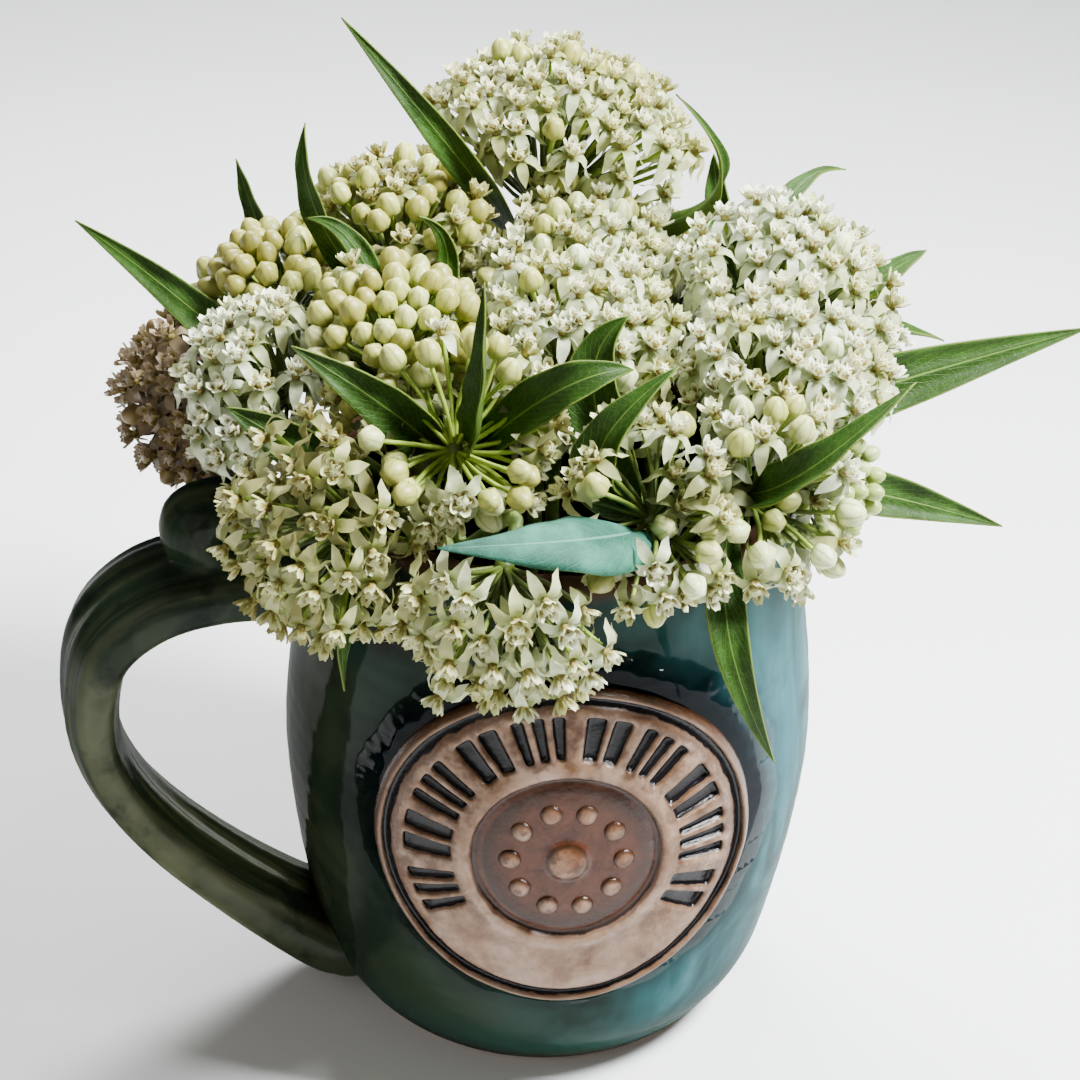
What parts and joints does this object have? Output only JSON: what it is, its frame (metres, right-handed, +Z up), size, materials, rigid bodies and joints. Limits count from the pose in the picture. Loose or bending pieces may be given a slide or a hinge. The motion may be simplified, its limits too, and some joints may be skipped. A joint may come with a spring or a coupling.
{
  "type": "bunch of white milkweed flowers in a stoneware mug",
  "caption": "Round-bellied stoneware mug with a looped handle and a pressed clay medallion, holding a bunch of white milkweed flower heads, buds and lance leaves.",
  "frame": {"origin": "centre of the mug's foot, on the surface that it stands on", "axes": "+Z up the mug's axis; the medallion faces -Y and the handle is on the -X side"},
  "size_m": [0.1765, 0.1541, 0.1724],
  "materials": {
    "glaze": "glossy, pooled darker round the medallion and paler where it thins",
    "pressed_clay": "glossy, with a dark stain in the grooves",
    "stem": "satin, faintly ribbed",
    "leaf": "satin, with a paler midrib and underside",
    "flowers": "soft and waxy",
    "flower_buds": "soft and waxy",
    "faded_flowers": "soft and papery"
  },
  "bodies": {
    "root": {"head_back": "flowers", "head_back_left": "flowers", "head_back_left_bud": "flower_buds", "head_back_low": "flowers", "head_back_right": "flowers", "head_centre": "flowers", "head_centre_back": "flowers", "head_faded": "faded_flowers", "head_front_right": "flowers", "head_green_bud": "flower_buds", "head_left": "flowers", "head_left_bud": "flower_buds", "head_low_front": "flowers", "head_low_left": "flowers", "head_right_front": "flowers", "head_right_high": "flowers", "head_right_low": "flowers", "head_starred": "flowers", "head_top": "flowers", "leaf_back_left_inner": "leaf", "leaf_back_left_outer": "leaf", "leaf_back_left_small": "leaf", "leaf_back_right": "leaf", "leaf_behind_top": "leaf", "leaf_centre_dark": "leaf", "leaf_centre_flat": "leaf", "leaf_centre_large": "leaf", "leaf_far_left": "leaf", "leaf_hanging_left": "leaf", "leaf_hanging_right": "leaf", "leaf_left_centre": "leaf", "leaf_left_low": "leaf", "leaf_rear": "leaf", "leaf_rear_left": "leaf", "leaf_rear_low": "leaf", "leaf_rear_right": "leaf", "leaf_right_front": "leaf", "leaf_right_long": "leaf", "leaf_right_low": "leaf", "leaf_right_upper": "leaf", "leaf_small_centre": "leaf", "leaf_top_left": "leaf", "leaf_top_right": "leaf", "leaf_underside": "leaf", "leaf_upright": "leaf", "mug_body": "glaze", "mug_handle": "glaze", "mug_medallion": "pressed_clay", "stem_back": "stem", "stem_back_left": "stem", "stem_centre": "stem", "stem_front_left": "stem", "stem_front_right": "stem", "stem_left": "stem", "stem_right": "stem", "stem_tall": "stem"}
  },
  "joints": []
}
